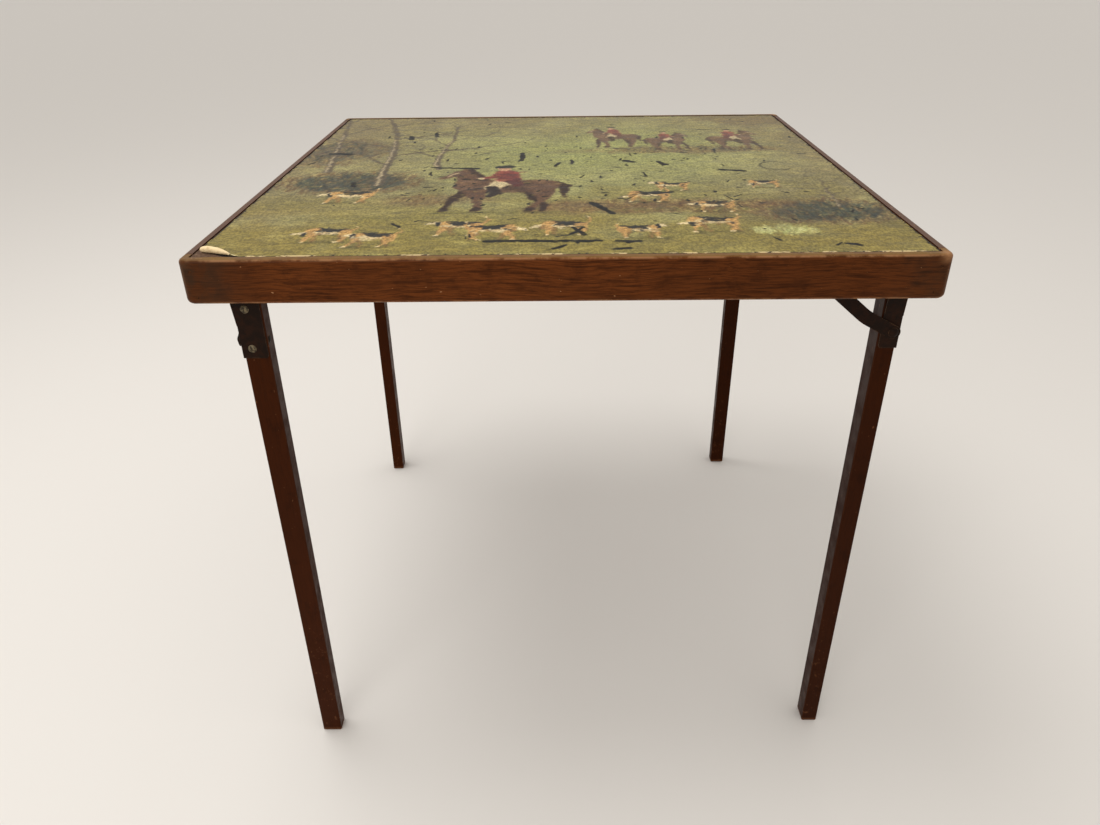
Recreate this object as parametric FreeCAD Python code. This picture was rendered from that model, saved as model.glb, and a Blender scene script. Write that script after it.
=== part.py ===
import FreeCAD, Part
import math
import os

# Square wooden card table whose four legs fold in turn under the top, each along one rail.
# Millimetres, +Z up, the floor at Z = 0, the table centred on the Z axis and -Y the front.
# Corner hardware is drawn once, for the front right corner, and turned to the other three.

# ---- driving dimensions -------------------------------------------------------------
TABLE_SIDE = 762.0
TABLE_HEIGHT = 701.0

RAIL_HEIGHT = 47.0
RAIL_THICKNESS = 19.0
LIP_WIDTH = 9.5
CORNER_RADIUS = 9.5
TOP_EDGE_ROUND = 4.2
BOTTOM_EDGE_ROUND = 5.5

PANEL_GAP = 1.0
PANEL_THICKNESS = 4.8
PANEL_RECESS = 0.6
PRINT_THICKNESS = 0.3
PRINT_MARGIN = 0.5
PEELED_ALONG_FRONT = 48.0
PEELED_ALONG_SIDE = 26.0

LEG_WIDTH_TOP = 27.5
LEG_WIDTH_FOOT = 25.5
LEG_DEPTH = 20.3
LEG_EDGE_ROUND = 1.8
FOOT_EDGE_ROUND = 2.0
LEG_WEB_INSET = 24.1
LEG_FLANGE_INSET = 39.3
PIVOT_DROP = 39.0
PIVOT_FROM_WEB_FACE = 7.5
LEG_TOP_RISE = 9.5

PLATE_THICKNESS = 1.5
PLATE_BOTTOM_DROP = 117.0
WEB_TOP_DROP = 48.5
FLANGE_EYE_RADIUS = 9.0
WEB_MARGIN = 1.5
FLANGE_MARGIN = 1.5
JOGGLE_START_DROP = 80.0
JOGGLE_END_DROP = 56.0
PLATE_CORNER_ROUND = 3.0
PLATE_BEND_ROUND = 1.2
PLATE_SCREW_FROM_FLANGE = 10.0
PLATE_SCREW_DROPS = (61.0, 106.0)

EAR_THICKNESS = 1.8
EAR_RADIUS = 7.0
SIDE_GAP = 0.3
BRACKET_TOP_DROP = 10.0
BRACKET_BOTTOM_DROP = 46.0
BRACKET_TAB = 13.0
BRACKET_CORNER_ROUND = 3.0
BRACKET_SCREW_DROPS = (20.0, 32.0)

PIN_RADIUS = 3.0
PIN_CLEARANCE = 0.05
PIN_HEAD_RADIUS = 4.8
PIN_HEAD_HEIGHT = 2.0

STRAP_WIDTH = 15.0
STRAP_THICKNESS = 2.0
STRAP_CLEARANCE = 0.2
STRAP_BEND_RADIUS = 60.0
RIVET_FROM_WEB_FACE = 6.3
RIVET_DROP = 98.0
BEND_FROM_WEB_FACE = 38.5
BEND_DROP = 80.5
STUD_FROM_WEB_FACE = 104.9
STUD_DROP = 24.0
RIVET_RADIUS = 3.0
RIVET_HEAD_RADIUS = 5.5
RIVET_HEAD_HEIGHT = 2.8
RIVET_TAIL_RADIUS = 4.5
RIVET_TAIL_HEIGHT = 1.2

STUD_RADIUS = 2.5
STUD_HEAD_RADIUS = 4.5
STUD_HEAD_HEIGHT = 1.8
STUD_TAIL_RADIUS = 4.0
STUD_TAIL_HEIGHT = 1.0
SLOT_CLEARANCE = 0.15
HEAD_CLEARANCE = 0.2

FOLD_ANGLE = 90.0
BRACE_TURN = 0.33
SLOT_STEPS = 12

TRACK_TOP_DROP = 15.0
TRACK_BOTTOM_DROP = 45.5
TRACK_END_MARGIN = 9.0
TRACK_TAB = 13.0
TRACK_BEND_ROUND = 1.4
TRACK_SCREW_DROPS = (22.0, 38.0)
TRACK_STRAP_GAP = 0.4

SCREW_RADIUS = 1.75
SCREW_HEAD_RADIUS = 3.5
SCREW_LENGTH = 15.0
SCREW_TIP = 4.0
SCREW_SLOT_WIDTH = 0.8
SCREW_SLOT_DEPTH = 0.7
ROUND_HEAD_RADIUS = 4.6
ROUND_HEAD_HEIGHT = 2.2
PLATE_SCREW_LENGTH = 14.0

NAIL_RADIUS = 1.0
NAIL_HEAD_RADIUS = 1.7
NAIL_HEAD_HEIGHT = 1.0
NAIL_LENGTH = 44.0
NAIL_SET = 0.3
NAIL_SPOTS = ((12.0, 12.0), (14.0, 39.0))

# how far a cutting shape runs past the surface that it cuts
OVERSHOOT = 1.0

# ---- places worked out from the dimensions, for the front right corner -----------------
HALF = TABLE_SIDE / 2
RAIL_INNER = HALF - RAIL_THICKNESS
LIP_INNER = HALF - LIP_WIDTH
PRINT_TOP = TABLE_HEIGHT - PANEL_RECESS
PANEL_TOP = PRINT_TOP - PRINT_THICKNESS
PANEL_BOTTOM = PANEL_TOP - PANEL_THICKNESS
RAIL_BOTTOM = TABLE_HEIGHT - RAIL_HEIGHT

LEG_OUTER_X = HALF - LEG_WEB_INSET
LEG_INNER_X = LEG_OUTER_X - LEG_DEPTH
LEG_OUTER_Y = -(HALF - LEG_FLANGE_INSET)
LEG_INNER_Y = LEG_OUTER_Y + LEG_WIDTH_TOP
PIVOT_X = LEG_OUTER_X - PIVOT_FROM_WEB_FACE
PIVOT_Z = TABLE_HEIGHT - PIVOT_DROP
LEG_TOP = PIVOT_Z + LEG_TOP_RISE
THROUGH_LEG = LEG_WIDTH_TOP + 2 * OVERSHOOT

FLANGE_OUTER_Y = LEG_OUTER_Y - PLATE_THICKNESS
OUTER_EAR_Y = LEG_OUTER_Y - SIDE_GAP - EAR_THICKNESS
INNER_EAR_Y = LEG_INNER_Y + SIDE_GAP
JOGGLED_Y = OUTER_EAR_Y - SIDE_GAP
STRAP_INNER_Y = FLANGE_OUTER_Y - STRAP_CLEARANCE
STRAP_OUTER_Y = STRAP_INNER_Y - STRAP_THICKNESS
TRACK_INNER_Y = STRAP_OUTER_Y - TRACK_STRAP_GAP
TRACK_OUTER_Y = TRACK_INNER_Y - PLATE_THICKNESS

RIVET = (LEG_OUTER_X - RIVET_FROM_WEB_FACE, TABLE_HEIGHT - RIVET_DROP)
BEND = (LEG_OUTER_X - BEND_FROM_WEB_FACE, TABLE_HEIGHT - BEND_DROP)
STUD = (LEG_OUTER_X - STUD_FROM_WEB_FACE, TABLE_HEIGHT - STUD_DROP)

CORNERS = ("front_right", "back_right", "back_left", "front_left")
QUARTER_TURN = 90.0
SAME = 1e-4
ORIGIN = FreeCAD.Vector(0, 0, 0)
UP = FreeCAD.Vector(0, 0, 1)
OUTWARD = FreeCAD.Vector(0, -1, 0)
INWARD = FreeCAD.Vector(0, 1, 0)
RIGHT = FreeCAD.Vector(1, 0, 0)
LEFT = FreeCAD.Vector(-1, 0, 0)


# ---- helpers ------------------------------------------------------------------------
def block(low, high):
    """Box between two opposite corners."""
    size = [high[i] - low[i] for i in range(3)]
    return Part.makeBox(size[0], size[1], size[2], FreeCAD.Vector(*low))


def rod(point, direction, radius, length):
    """Cylinder from a point along a direction."""
    return Part.makeCylinder(radius, length, FreeCAD.Vector(*point), direction)


def aimed(shape, point, direction):
    """A shape drawn along +Z at the origin, turned to a direction and moved to a point."""
    turned = shape.copy()
    turned.Placement = FreeCAD.Placement(FreeCAD.Vector(*point), FreeCAD.Rotation(UP, direction))
    return turned


def turned_to(shape, corner):
    """The front right corner's piece, turned about the table's centre to another corner."""
    copy = shape.copy()
    copy.rotate(ORIGIN, UP, QUARTER_TURN * CORNERS.index(corner))
    return copy


def dome(radius, height):
    """Spherical cap standing on the XY plane."""
    ball_radius = (radius ** 2 + height ** 2) / (2 * height)
    ball = Part.makeSphere(ball_radius, FreeCAD.Vector(0, 0, height - ball_radius))
    return ball.common(Part.makeCylinder(radius, height))


def outline_prism(points, y_from, y_to):
    """Prism of an outline in the XZ plane between two Y values."""
    vectors = [FreeCAD.Vector(x, y_from, z) for x, z in points]
    face = Part.Face(Part.makePolygon(vectors + vectors[:1]))
    return face.extrude(FreeCAD.Vector(0, y_to - y_from, 0))


def edges_where(shape, test):
    """Edges whose two ends both pass a test."""
    found = []
    for edge in shape.Edges:
        if len(edge.Vertexes) == 2 and all(test(vertex.Point) for vertex in edge.Vertexes):
            found.append(edge)
    return found


def near(value, target):
    """Whether two measures are the same but for rounding."""
    return abs(value - target) < SAME


def cut_all(shape, tools):
    """Shape less each of the tools."""
    for tool in tools:
        shape = shape.cut(tool)
    return shape


def save(name, shape):
    """Write one named piece, or one group of separate like pieces."""
    shape.exportStep("parts/" + name + ".step")


# ---- fasteners ----------------------------------------------------------------------
def screw_shank(length):
    """Plain shank with a pointed tip, hanging from the XY plane."""
    straight = Part.makeCylinder(SCREW_RADIUS, length - SCREW_TIP, ORIGIN, -UP)
    tip = Part.makeCone(SCREW_RADIUS, 0, SCREW_TIP, -UP * (length - SCREW_TIP), -UP)
    return straight.fuse(tip)


def driver_slot(radius, top):
    """Bar that cuts a screwdriver slot into a head whose top is at the given height."""
    low = (-radius, -SCREW_SLOT_WIDTH / 2, top - SCREW_SLOT_DEPTH)
    return block(low, (radius, SCREW_SLOT_WIDTH / 2, top + SCREW_SLOT_DEPTH))


def flat_screw():
    """Countersunk wood screw, its head flush with the XY plane."""
    return flat_screw_cavity().cut(driver_slot(SCREW_HEAD_RADIUS, 0))


def round_screw():
    """Round-headed wood screw, its head standing on the XY plane."""
    screw = screw_shank(PLATE_SCREW_LENGTH).fuse(dome(ROUND_HEAD_RADIUS, ROUND_HEAD_HEIGHT))
    return screw.cut(driver_slot(ROUND_HEAD_RADIUS, ROUND_HEAD_HEIGHT))


def flat_screw_cavity():
    """The room a countersunk screw takes, without its driver slot."""
    head = Part.makeCone(SCREW_HEAD_RADIUS, SCREW_RADIUS, SCREW_HEAD_RADIUS - SCREW_RADIUS, ORIGIN, -UP)
    return screw_shank(SCREW_LENGTH).fuse(head)


def nail():
    """Wire nail, its head a little under the XY plane."""
    top = -UP * NAIL_SET
    head = Part.makeCylinder(NAIL_HEAD_RADIUS, NAIL_HEAD_HEIGHT, top, -UP)
    shank = Part.makeCylinder(NAIL_RADIUS, NAIL_LENGTH, top, -UP)
    return head.fuse(shank)


def nail_cavity():
    """The hole a set nail leaves, open to the surface."""
    return nail().fuse(Part.makeCylinder(NAIL_HEAD_RADIUS, NAIL_SET, ORIGIN, -UP))


def bracket_screw_spots():
    """Points where the hinge bracket's screws meet its face on the side rail."""
    face_x = RAIL_INNER - PLATE_THICKNESS
    outer_y = OUTER_EAR_Y - BRACKET_TAB / 2
    inner_y = INNER_EAR_Y + EAR_THICKNESS + BRACKET_TAB / 2
    return [(face_x, y, TABLE_HEIGHT - drop) for y in (outer_y, inner_y) for drop in BRACKET_SCREW_DROPS]


def track_screw_spots():
    """Points where the brace track's screws meet its feet on the front rail."""
    low, high = track_ends()
    face_y = -RAIL_INNER + PLATE_THICKNESS
    middle = PLATE_THICKNESS + TRACK_TAB / 2
    feet = (low - middle, high + middle)
    return [(x, face_y, TABLE_HEIGHT - drop) for x in feet for drop in TRACK_SCREW_DROPS]


def corner_screws(screw):
    """The given screw shape at every flat screw of the front right corner."""
    bracket = [aimed(screw, spot, LEFT) for spot in bracket_screw_spots()]
    track = [aimed(screw, spot, INWARD) for spot in track_screw_spots()]
    return bracket, track


def corner_nails(shape):
    """Nails through the front rail into the right rail's front end."""
    nails = []
    for from_side, drop in NAIL_SPOTS:
        nails.append(aimed(shape, (HALF - from_side, -HALF, TABLE_HEIGHT - drop), OUTWARD))
    return nails


def rail_nails():
    """Every rail nail: front and back rails are nailed at both ends."""
    right = corner_nails(nail())
    front = right + [item.mirror(ORIGIN, RIGHT) for item in right]
    return front + [item.mirror(ORIGIN, INWARD) for item in front]


# ---- frame and top ------------------------------------------------------------------
def rounded_rail(length, ends_show):
    """Front rail's bar before its cavities; only ends that show have rounded corners."""
    bar = block((-length / 2, -HALF, RAIL_BOTTOM), (length / 2, -RAIL_INNER, TABLE_HEIGHT))
    if ends_show:
        corners = edges_where(bar, lambda p: near(abs(p.x), length / 2) and near(p.y, -HALF))
        uprights = [edge for edge in corners if edge.BoundBox.ZLength > SAME]
        bar = bar.makeFillet(CORNER_RADIUS, uprights)
    outer = [edge for edge in bar.Edges if on_outline(edge, TABLE_HEIGHT, length, ends_show)]
    bar = bar.makeFillet(TOP_EDGE_ROUND, outer)
    under = [edge for edge in bar.Edges if on_outline(edge, RAIL_BOTTOM, length, ends_show)]
    return bar.makeFillet(BOTTOM_EDGE_ROUND, under)


def on_outline(edge, height, length, ends_show):
    """Whether an edge runs round the rail's outer side at the given height."""
    box = edge.BoundBox
    if not (near(box.ZMin, height) and near(box.ZMax, height)):
        return False
    on_front = box.YMin < -HALF + SAME
    on_end = ends_show and abs(edge.CenterOfMass.x) > length / 2 - CORNER_RADIUS
    return on_front or on_end


def rabbet(half_length):
    """Step under the top panel, cut into the front rail's inner top edge."""
    low = (-half_length, -LIP_INNER, PANEL_BOTTOM)
    return block(low, (half_length, -RAIL_INNER + OVERSHOOT, TABLE_HEIGHT + OVERSHOOT))


def front_rail():
    """Full-width rail at the front."""
    bar = rounded_rail(TABLE_SIDE, True).cut(rabbet(LIP_INNER))
    bracket, track = corner_screws(flat_screw_cavity())
    bracket_here = [turned_to(item, "front_left") for item in bracket]
    nails = corner_nails(nail_cavity())
    nails += [item.mirror(ORIGIN, RIGHT) for item in nails]
    return cut_all(bar, track + bracket_here + nails)


def side_rail_as_front():
    """Rail between the front and back rails, drawn in the front rail's place."""
    bar = rounded_rail(2 * RAIL_INNER, False).cut(rabbet(RAIL_INNER + OVERSHOOT))
    bracket, track = corner_screws(flat_screw_cavity())
    bracket_here = [turned_to(item, "front_left") for item in bracket]
    return cut_all(bar, track + bracket_here)


def side_rail(corner):
    """Left or right rail, holding the ends of the front and back rails' nails."""
    bar = turned_to(side_rail_as_front(), corner)
    return cut_all(bar, rail_nails())


def top_panel():
    """Thin board that lies in the rails' rabbets."""
    half = LIP_INNER - PANEL_GAP
    return block((-half, -half, PANEL_BOTTOM), (half, half, PANEL_TOP))


def print_sheet():
    """Printed paper on the panel, torn away at the front left corner."""
    half = LIP_INNER - PANEL_GAP - PRINT_MARGIN
    torn = [(-half + PEELED_ALONG_FRONT, -half), (half, -half), (half, half), (-half, half)]
    torn.append((-half, -half + PEELED_ALONG_SIDE))
    vectors = [FreeCAD.Vector(x, y, PANEL_TOP) for x, y in torn]
    face = Part.Face(Part.makePolygon(vectors + vectors[:1]))
    return face.extrude(UP * PRINT_THICKNESS)


# ---- leg body -----------------------------------------------------------------------
def leg_inner_face(z):
    """Y of the leg's tapered inner face at a height."""
    return LEG_OUTER_Y + LEG_WIDTH_FOOT + (LEG_WIDTH_TOP - LEG_WIDTH_FOOT) * z / LEG_TOP


def leg():
    """Leg tapered on its inner face and rounded over where it turns past the side rail."""
    outline = [(LEG_OUTER_Y, 0), (leg_inner_face(0), 0), (LEG_INNER_Y, LEG_TOP), (LEG_OUTER_Y, LEG_TOP)]
    points = [FreeCAD.Vector(LEG_INNER_X, y, z) for y, z in outline]
    body = Part.Face(Part.makePolygon(points + points[:1])).extrude(RIGHT * LEG_DEPTH)
    body = body.makeFillet(LEG_EDGE_ROUND, edges_running_down(body))
    body = body.makeFillet(FOOT_EDGE_ROUND, [edge for edge in body.Edges if near(edge.BoundBox.ZMax, 0)])
    return body.cut(leg_top_relief())


def edges_running_down(body):
    """The leg's four long edges."""
    return [edge for edge in body.Edges if edge.BoundBox.ZLength > LEG_TOP / 2]


def leg_top_relief():
    """Everything past the turning radius at the leg's upper outer corner."""
    low = (PIVOT_X, LEG_OUTER_Y - OVERSHOOT, PIVOT_Z)
    corner = block(low, (LEG_OUTER_X + OVERSHOOT, LEG_INNER_Y + OVERSHOOT, LEG_TOP + OVERSHOOT))
    turning = rod(low, INWARD, LEG_TOP_RISE, THROUGH_LEG)
    return corner.cut(turning)


def drilled_leg():
    """Leg with its pivot hole, rivet hole and screw cavities."""
    outside = LEG_OUTER_Y - OVERSHOOT
    hole = rod((PIVOT_X, outside, PIVOT_Z), INWARD, PIN_RADIUS + PIN_CLEARANCE, THROUGH_LEG)
    rivet_hole = rod((RIVET[0], outside, RIVET[1]), INWARD, RIVET_RADIUS, THROUGH_LEG)
    return cut_all(leg(), [hole, rivet_hole] + leg_plate_screws())


def plate_angle():
    """Lower part of the leg plate: an angle round the leg's outer corner."""
    bottom = TABLE_HEIGHT - PLATE_BOTTOM_DROP
    top = TABLE_HEIGHT - JOGGLE_START_DROP
    flange_end = LEG_INNER_X + FLANGE_MARGIN
    web_end = LEG_INNER_Y - WEB_MARGIN
    outer_x = LEG_OUTER_X + PLATE_THICKNESS
    flange = block((flange_end, FLANGE_OUTER_Y, bottom), (outer_x, LEG_OUTER_Y, top))
    web = block((LEG_OUTER_X, FLANGE_OUTER_Y, bottom), (outer_x, web_end, top))
    angle = flange.fuse(web).removeSplitter()
    bend = edges_where(angle, lambda p: near(p.x, outer_x) and near(p.y, FLANGE_OUTER_Y))
    angle = angle.makeFillet(PLATE_BEND_ROUND, bend)
    free = edges_where(angle, lambda p: near(p.z, bottom) and (near(p.x, flange_end) or near(p.y, web_end)))
    return angle.makeFillet(PLATE_CORNER_ROUND, free)


def web_upper():
    """Web above the angle, up to just under the bracket."""
    low = (LEG_OUTER_X, FLANGE_OUTER_Y, TABLE_HEIGHT - JOGGLE_START_DROP)
    high = (LEG_OUTER_X + PLATE_THICKNESS, LEG_INNER_Y - WEB_MARGIN, TABLE_HEIGHT - WEB_TOP_DROP)
    return block(low, high)


def flange_upper():
    """Flange above the angle, stepped out past the bracket's ear to an eye on the pivot."""
    start = TABLE_HEIGHT - JOGGLE_START_DROP
    end = TABLE_HEIGHT - JOGGLE_END_DROP
    high = PIVOT_Z + FLANGE_EYE_RADIUS
    bent = [(LEG_OUTER_Y, start), (JOGGLED_Y, end), (JOGGLED_Y, high)]
    inner = [FreeCAD.Vector(LEG_INNER_X, y, z) for y, z in bent]
    outer = [FreeCAD.Vector(LEG_INNER_X, y - PLATE_THICKNESS, z) for y, z in reversed(bent)]
    face = Part.Face(Part.makePolygon(inner + outer + inner[:1]))
    strip = face.extrude(RIGHT * (LEG_DEPTH + PLATE_THICKNESS))
    return strip.common(flange_outline(start, end))


def flange_outline(start, end):
    """Outline of the upper flange: it narrows to the round eye."""
    inner_x = LEG_INNER_X + FLANGE_MARGIN
    outer_x = LEG_OUTER_X + PLATE_THICKNESS
    points = [(inner_x, start), (outer_x, start), (outer_x, end)]
    points += [(PIVOT_X + FLANGE_EYE_RADIUS, PIVOT_Z), (PIVOT_X - FLANGE_EYE_RADIUS, PIVOT_Z)]
    points += [(inner_x, end)]
    outer_y = JOGGLED_Y - PLATE_THICKNESS
    eye = rod((PIVOT_X, outer_y, PIVOT_Z), INWARD, FLANGE_EYE_RADIUS, LEG_OUTER_Y - outer_y)
    return outline_prism(points, outer_y, LEG_OUTER_Y).fuse(eye)


def leg_plate():
    """Plate round the leg's two outer faces, pierced for its pin, rivet and screws."""
    plate = plate_angle().fuse([web_upper(), flange_upper()])
    reach = 2 * LEG_WIDTH_TOP
    pin_hole = rod((PIVOT_X, LEG_INNER_Y - reach, PIVOT_Z), INWARD, PIN_RADIUS + PIN_CLEARANCE, reach)
    rivet_hole = rod((RIVET[0], LEG_INNER_Y - reach, RIVET[1]), INWARD, RIVET_RADIUS, reach)
    return cut_all(plate, [pin_hole, rivet_hole] + leg_plate_screws())


def leg_plate_screws():
    """Two round-headed screws through the web into the leg."""
    screws = []
    for drop in PLATE_SCREW_DROPS:
        spot = (LEG_OUTER_X + PLATE_THICKNESS, LEG_OUTER_Y + PLATE_SCREW_FROM_FLANGE, TABLE_HEIGHT - drop)
        screws.append(aimed(round_screw(), spot, RIGHT))
    return screws


def brace_rivet():
    """Rivet through leg and strap, domed over the strap and clenched inside the leg."""
    head_y = STRAP_OUTER_Y - HEAD_CLEARANCE
    tail_y = leg_inner_face(RIVET[1] + RIVET_TAIL_RADIUS)
    shank = rod((RIVET[0], head_y, RIVET[1]), INWARD, RIVET_RADIUS, tail_y - head_y)
    head = aimed(dome(RIVET_HEAD_RADIUS, RIVET_HEAD_HEIGHT), (RIVET[0], head_y, RIVET[1]), OUTWARD)
    tail = aimed(dome(RIVET_TAIL_RADIUS, RIVET_TAIL_HEIGHT), (RIVET[0], tail_y, RIVET[1]), INWARD)
    return shank.fuse([head, tail])


# ---- hinge --------------------------------------------------------------------------
def bracket_ear(low_y):
    """One ear of the hinge bracket, rounded about the pivot."""
    low = (PIVOT_X, low_y, PIVOT_Z - EAR_RADIUS)
    arm = block(low, (RAIL_INNER, low_y + EAR_THICKNESS, PIVOT_Z + EAR_RADIUS))
    return arm.fuse(rod((PIVOT_X, low_y, PIVOT_Z), INWARD, EAR_RADIUS, EAR_THICKNESS))


def hinge_bracket():
    """U bracket screwed to the side rail, its two ears either side of the leg's top."""
    low_y = OUTER_EAR_Y - BRACKET_TAB
    high_y = INNER_EAR_Y + EAR_THICKNESS + BRACKET_TAB
    face_x = RAIL_INNER - PLATE_THICKNESS
    low = (face_x, low_y, TABLE_HEIGHT - BRACKET_BOTTOM_DROP)
    back = block(low, (RAIL_INNER, high_y, TABLE_HEIGHT - BRACKET_TOP_DROP))
    across = [edge for edge in back.Edges if near(edge.BoundBox.XLength, PLATE_THICKNESS)]
    back = back.makeFillet(BRACKET_CORNER_ROUND, across)
    bracket = back.fuse([bracket_ear(OUTER_EAR_Y), bracket_ear(INNER_EAR_Y)])
    hole = rod((PIVOT_X, low_y, PIVOT_Z), INWARD, PIN_RADIUS, high_y - low_y)
    screws, _ = corner_screws(flat_screw_cavity())
    return cut_all(bracket, [hole] + screws)


def pivot_pin():
    """Pin headed outside the leg plate and outside the bracket's inner ear."""
    outer_y = JOGGLED_Y - PLATE_THICKNESS - HEAD_CLEARANCE
    inner_y = INNER_EAR_Y + EAR_THICKNESS
    shank = rod((PIVOT_X, outer_y, PIVOT_Z), INWARD, PIN_RADIUS, inner_y - outer_y)
    outer = aimed(dome(PIN_HEAD_RADIUS, PIN_HEAD_HEIGHT), (PIVOT_X, outer_y, PIVOT_Z), OUTWARD)
    inner = aimed(dome(PIN_HEAD_RADIUS, PIN_HEAD_HEIGHT), (PIVOT_X, inner_y, PIVOT_Z), INWARD)
    return shank.fuse([outer, inner])


# ---- folding brace --------------------------------------------------------------------
def swung(x, z, degrees):
    """A point of the XZ plane turned about the origin, from hanging down towards -X."""
    angle = math.radians(degrees)
    return x * math.cos(angle) + z * math.sin(angle), z * math.cos(angle) - x * math.sin(angle)


def stud_place(degrees):
    """Where the brace's stud is when the leg has folded through an angle."""
    rivet_x, rivet_z = swung(RIVET[0] - PIVOT_X, RIVET[1] - PIVOT_Z, degrees)
    reach_x, reach_z = swung(STUD[0] - RIVET[0], STUD[1] - RIVET[1], -BRACE_TURN * degrees)
    return PIVOT_X + rivet_x + reach_x, PIVOT_Z + rivet_z + reach_z


def slot_centreline():
    """Points along the track's slot, from the standing leg's end to the folded leg's."""
    angles = [FOLD_ANGLE * step / SLOT_STEPS for step in range(SLOT_STEPS + 1)]
    return [FreeCAD.Vector(x, 0, z) for x, z in map(stud_place, angles)]


def track_ends():
    """Lowest and highest X of the track's raised part."""
    xs = [point.x for point in slot_centreline()]
    margin = STUD_RADIUS + TRACK_END_MARGIN
    return min(xs) - margin, max(xs) + margin


def smooth_edge(points):
    """Smooth curve through points."""
    curve = Part.BSplineCurve()
    curve.interpolate(points)
    return curve.toShape()


def slot_cutter():
    """Solid of the slot that the stud runs in, along the path the stud takes."""
    centre = slot_centreline()
    half_width = STUD_RADIUS + SLOT_CLEARANCE
    last = len(centre) - 1
    along = [(centre[min(i + 1, last)] - centre[max(i - 1, 0)]).normalize() for i in range(last + 1)]
    aside = [direction.cross(INWARD) * half_width for direction in along]
    upper = [point + offset for point, offset in zip(centre, aside)]
    lower = [point - offset for point, offset in zip(centre, aside)]
    far_end = Part.Arc(upper[-1], centre[-1] + along[-1] * half_width, lower[-1]).toShape()
    near_end = Part.Arc(lower[0], centre[0] - along[0] * half_width, upper[0]).toShape()
    wire = Part.Wire([smooth_edge(upper), far_end, smooth_edge(lower[::-1]), near_end])
    slot = Part.Face(wire).extrude(INWARD * (2 * PLATE_THICKNESS))
    slot.translate(FreeCAD.Vector(0, TRACK_OUTER_Y - PLATE_THICKNESS / 2, 0))
    return slot


def brace_track():
    """Slotted plate stood off the front rail on two bent feet."""
    low, high = track_ends()
    bottom = TABLE_HEIGHT - TRACK_BOTTOM_DROP
    top = TABLE_HEIGHT - TRACK_TOP_DROP
    inner_wall_low = low + PLATE_THICKNESS
    inner_wall_high = high - PLATE_THICKNESS
    foot_y = -RAIL_INNER + PLATE_THICKNESS
    outline = [(low - TRACK_TAB, -RAIL_INNER), (inner_wall_low, -RAIL_INNER)]
    outline += [(inner_wall_low, TRACK_OUTER_Y), (inner_wall_high, TRACK_OUTER_Y)]
    outline += [(inner_wall_high, -RAIL_INNER), (high + TRACK_TAB, -RAIL_INNER)]
    outline += [(high + TRACK_TAB, foot_y), (high, foot_y), (high, TRACK_INNER_Y)]
    outline += [(low, TRACK_INNER_Y), (low, foot_y), (low - TRACK_TAB, foot_y)]
    points = [FreeCAD.Vector(x, y, bottom) for x, y in outline]
    track = Part.Face(Part.makePolygon(points + points[:1])).extrude(UP * (top - bottom))
    bends = edges_where(track, lambda p: near(p.y, TRACK_INNER_Y) and (near(p.x, low) or near(p.x, high)))
    uprights = [edge for edge in bends if edge.BoundBox.ZLength > PLATE_THICKNESS]
    track = track.makeFillet(TRACK_BEND_ROUND, uprights)
    _, screws = corner_screws(flat_screw_cavity())
    return cut_all(track, [slot_cutter()] + screws)


def unit(start, end):
    """Unit vector from one XZ pair to another, and its normal in that plane."""
    along = FreeCAD.Vector(end[0] - start[0], 0, end[1] - start[1]).normalize()
    return along, along.cross(OUTWARD)


def strap_side(half_width, bend_side):
    """One long side of the strap: straight, round the bend, straight."""
    along_1, aside_1 = unit(RIVET, BEND)
    along_2, aside_2 = unit(BEND, STUD)
    tangent = STRAP_BEND_RADIUS * math.tan(along_1.getAngle(along_2) / 2)
    corner = FreeCAD.Vector(BEND[0], 0, BEND[1])
    bend_start = corner - along_1 * tangent
    bend_end = corner + along_2 * tangent
    middle_aside = (aside_1 + aside_2).normalize()
    centre = bend_start + aside_1 * STRAP_BEND_RADIUS * bend_side
    bend_middle = centre - middle_aside * STRAP_BEND_RADIUS * bend_side
    start = FreeCAD.Vector(RIVET[0], 0, RIVET[1]) + aside_1 * half_width
    end = FreeCAD.Vector(STUD[0], 0, STUD[1]) + aside_2 * half_width
    arc = [bend_start + aside_1 * half_width]
    arc += [bend_middle + middle_aside * half_width, bend_end + aside_2 * half_width]
    return start, arc, end


def side_edges(side):
    """Edges of one long side of the strap."""
    start, arc, end = side
    return [Part.makeLine(start, arc[0]), Part.Arc(*arc).toShape(), Part.makeLine(arc[2], end)]


def brace():
    """Flat strap with rounded ends and a shallow bend near the leg."""
    along_1, aside_1 = unit(RIVET, BEND)
    along_2, _ = unit(BEND, STUD)
    bend_side = math.copysign(1, aside_1.dot(along_2))
    upper = strap_side(STRAP_WIDTH / 2, bend_side)
    lower = strap_side(-STRAP_WIDTH / 2, bend_side)
    rivet = FreeCAD.Vector(RIVET[0], 0, RIVET[1])
    stud = FreeCAD.Vector(STUD[0], 0, STUD[1])
    stud_end = Part.Arc(upper[2], stud + along_2 * STRAP_WIDTH / 2, lower[2]).toShape()
    rivet_end = Part.Arc(upper[0], rivet - along_1 * STRAP_WIDTH / 2, lower[0]).toShape()
    edges = side_edges(upper) + [stud_end] + side_edges(lower) + [rivet_end]
    wire = Part.Wire(Part.__sortEdges__(edges))
    strap = Part.Face(wire).extrude(INWARD * STRAP_THICKNESS)
    strap.translate(FreeCAD.Vector(0, STRAP_OUTER_Y, 0))
    start_y = STRAP_OUTER_Y - STRAP_THICKNESS
    through = 3 * STRAP_THICKNESS
    rivet_hole = rod((RIVET[0], start_y, RIVET[1]), INWARD, RIVET_RADIUS + PIN_CLEARANCE, through)
    stud_hole = rod((STUD[0], start_y, STUD[1]), INWARD, STUD_RADIUS, through)
    return cut_all(strap, [rivet_hole, stud_hole])


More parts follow.
